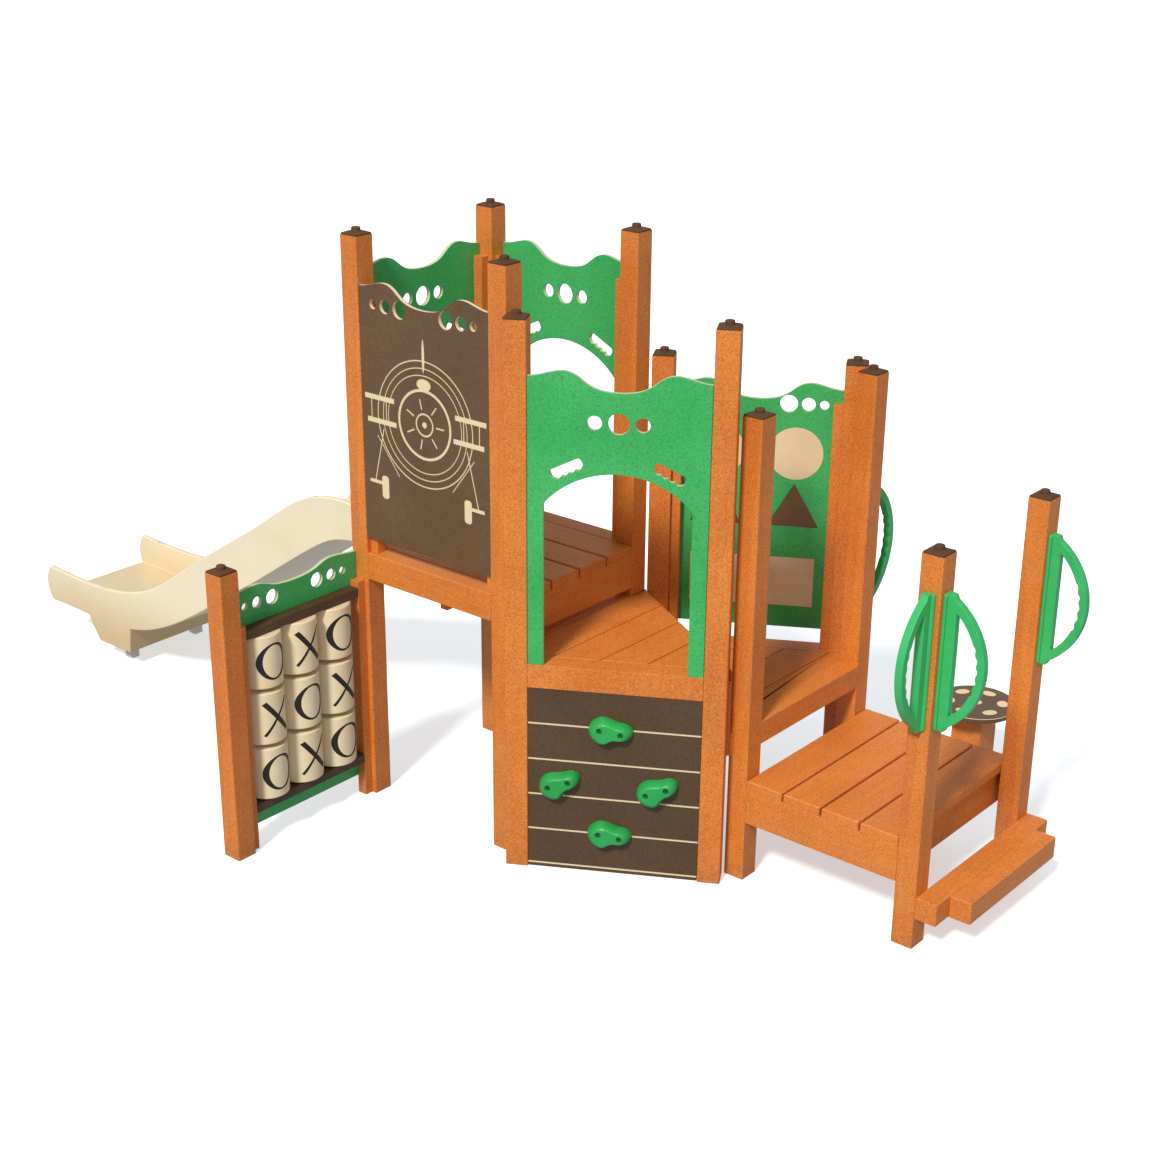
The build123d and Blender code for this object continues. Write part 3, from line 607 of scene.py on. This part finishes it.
@dataclass
class Panels:
    """Arch panels, solid barriers and the shapes let into one of them."""

    shop: Workshop
    rounding: float = 0.0014

    def sheet(self, node: str, out: Vector, brown: bool = False) -> None:
        """Finish one sheet by the way its outer face looks.

        The brown sheet keeps its own mesh, because its engraving is finer than a softened edge.

        Args:
            node: the node's name.
            out: outward direction of its face.
            brown: brown instead of green.
        """
        points = [v.co.dot(out) for v in frame["nodes"][node].data.vertices]
        colours = (BROWN_FACE, BROWN_SHADE, CREAM_CORE) if brown else (GREEN_FACE, GREEN_SHADE, GREEN_EDGE_HIGHLIGHT)
        material = SheetFinish(f"{node}_sheet", *colours, out, max(points), min(points)).material()
        if brown:
            self.shop.dress(node, material)
        else:
            self.shop.soften(node, self.rounding, material, Slot.GREEN)

    def build(self) -> None:
        """Dress every panel."""
        self.sheet("climbing_arch_panel", -NORTH)
        self.sheet("slide_arch_panel", ACROSS)
        self.sheet("back_arch_panel", ALONG)
        self.sheet("aeroplane_panel", -ALONG, brown=True)
        self.sheet("shapes_panel", NORTH)
        cream = PlainFinish("cream_shape", (0.82, 0.66, 0.41), (0.72, 0.56, 0.33), 0.42).material()
        self.shop.dress("shape_circles_squares", cream)
        brown = PlainFinish("brown_shape", BROWN_FACE, BROWN_SHADE, 0.42).material()
        self.shop.dress("shape_triangles", brown)


@dataclass
class GamePanel:
    """Green frame with brown rails, steel rods and nine turning drums."""

    shop: Workshop
    rounding: float = 0.0014
    mark_margin: float = 0.018
    rows: tuple[str, ...] = ("bottom", "middle", "top")
    columns: tuple[str, ...] = ("left", "centre", "right")

    def build(self) -> None:
        """Dress the frame and give each drum its own finish."""
        points = [v.co.dot(ACROSS) for v in frame["nodes"]["game_frame"].data.vertices]
        sheet = SheetFinish("game_frame_sheet", GREEN_FACE, GREEN_SHADE, GREEN_EDGE_HIGHLIGHT, ACROSS,
                            max(points), min(points))
        self.shop.soften("game_frame", self.rounding, sheet.material(), Slot.GREEN)
        rail = PlainFinish("game_rail", DARK_FACE, DARK_SHADE, 0.5).material()
        self.shop.soften("game_rails", self.rounding, rail, Slot.BROWN)
        self.shop.dress("game_rods", SteelFinish().material())
        for row in self.rows:
            for column in self.columns:
                node = f"drum_{row}_{column}"
                low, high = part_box(node)
                centre = (low + high) / 2
                radius = (high.x - low.x) / 2
                reach = (high.z - low.z) / 2 - self.mark_margin
                self.shop.dress(node, DrumFinish(f"{node}_finish", centre, radius, reach).material())


@dataclass
class Slide:
    """Moulded chute on two steel anchors."""

    shop: Workshop
    rounding: float = 0.007

    def build(self) -> None:
        """Dress the chute and its anchors."""
        # The moulding carries a painted shade that darkens the lower chute and foot towards the ground below
        # 0.42 m.
        cream = PlainFinish("slide_moulding", (0.88, 0.78, 0.58), (0.83, 0.72, 0.51), rough=0.34,
                            pebble_scale=520.0, pebble_depth=0.0004, specular=0.45,
                            low_shade=(0.62, 0.44, 0.21), low_shade_top=0.42).material()
        self.shop.soften("slide_chute", self.rounding, cream, Slot.SLIDE, 3)
        coated = PlainFinish("coated_anchor", (0.80, 0.77, 0.70), (0.70, 0.67, 0.60), 0.45).material()
        self.shop.dress("slide_anchors", coated)


@dataclass
class HandGrips:
    """Four D-shaped hand grips with finger waves."""

    shop: Workshop
    rounding: float = 0.0025
    places: tuple[str, ...] = ("entry_left_side", "entry_left_front", "entry_right_front", "step_back_side")

    def build(self) -> None:
        """Dress the grips."""
        green = PlainFinish("grip_moulding", (0.048, 0.520, 0.150), (0.030, 0.420, 0.110), rough=0.34,
                            pebble_scale=380.0).material()
        for place in self.places:
            self.shop.soften(f"grip_{place}", self.rounding, green, Slot.GREEN, 3)


@dataclass
class Stool:
    """Round seat with cream ovals, on its own post."""

    shop: Workshop
    rounding: float = 0.001
    core_depth: float = 0.0062

    def build(self) -> None:
        """Dress the seat and the post."""
        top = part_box("stool_seat")[1].z
        finish = SheetFinish("seat_sheet", BROWN_FACE, BROWN_SHADE, CREAM_CORE, UP, top,
                             top - self.core_depth)
        self.shop.soften("stool_seat", self.rounding, finish.material(), Slot.BROWN)
        self.shop.dress("stool_post", LumberFinish("stool_lumber", UP).material())


@dataclass
class Studio:
    """Pale floor, even white surround, one soft sun and the camera."""

    sun_from: Vector = Vector((-0.191, -0.686, 0.707))
    sun_strength: float = 3.0
    sun_width: float = math.radians(9)
    sky_strength: float = 0.46
    floor_glow: float = 0.50
    floor_reach: float = 90.0
    floor_drop: float = 0.0006
    lens: float = 60.315
    shift: tuple[float, float] = (0.01213, 0.02746)
    stand: tuple[float, float, float] = (1.6995, -7.4698, 3.8881)
    turn: tuple[float, float, float] = (67.4244, -0.2213, 10.3739)

    def floor(self) -> None:
        """Lay a wide pale floor."""
        g = Graph("studio_floor")
        colour = g.mix(g.ramp(g.noise(1.2, 3.0), 0.3, 0.7), (0.90, 0.915, 0.93), (0.87, 0.89, 0.91))
        g.shader.inputs["Emission Color"].default_value = SKY_WHITE
        g.shader.inputs["Emission Strength"].default_value = self.floor_glow
        material = g.finish(colour, 0.85, None, 0.1)
        mesh = bpy.data.meshes.new("studio_floor")
        size = self.floor_reach
        corners = [(-size, -size, 0), (size, -size, 0), (size, size, 0), (-size, size, 0)]
        mesh.from_pydata(corners, [], [(0, 1, 2, 3)])
        mesh.materials.append(material)
        plane = bpy.data.objects.new("studio_floor", mesh)
        bpy.context.scene.collection.objects.link(plane)
        plane.location.z = -self.floor_drop
        plane.visible_diffuse = False
        plane.visible_glossy = False

    def lights(self) -> None:
        """Set the white surround and the sun."""
        scene = bpy.context.scene
        world = bpy.data.worlds.new("white_surround")
        scene.world = world
        world.use_nodes = True
        back = world.node_tree.nodes["Background"]
        back.inputs["Color"].default_value = SKY_WHITE
        back.inputs["Strength"].default_value = self.sky_strength
        lamp = bpy.data.lights.new("soft_sun", "SUN")
        lamp.energy = self.sun_strength
        lamp.angle = self.sun_width
        lamp.color = (1.0, 0.97, 0.92)
        sun = bpy.data.objects.new("soft_sun", lamp)
        scene.collection.objects.link(sun)
        sun.rotation_euler = self.sun_from.to_track_quat("Z", "Y").to_euler()
        scene.view_settings.view_transform = "Standard"

    def camera(self) -> None:
        """Stand the camera in front of the climbing wall, looking down on the decks."""
        data = bpy.data.cameras.new("camera")
        data.lens = self.lens
        data.sensor_width = 36.0
        data.shift_x, data.shift_y = self.shift
        data.clip_end = 400.0
        camera = bpy.data.objects.new("camera", data)
        bpy.context.scene.collection.objects.link(camera)
        camera.location = self.stand
        camera.rotation_euler = tuple(math.radians(angle) for angle in self.turn)
        bpy.context.scene.camera = camera

    def build(self) -> None:
        """Set the whole studio up."""
        self.floor()
        self.lights()
        self.camera()


def main() -> None:
    """Build every sub-assembly."""
    logging.basicConfig(level=logging.INFO, format="%(message)s")
    shop = Workshop()
    for part in (Posts(shop), Decks(shop), ClimbingWall(shop), Panels(shop), GamePanel(shop), Slide(shop),
                 HandGrips(shop), Stool(shop), Studio()):
        part.build()
    bpy.context.view_layer.update()


if __name__ == "__main__":
    main()
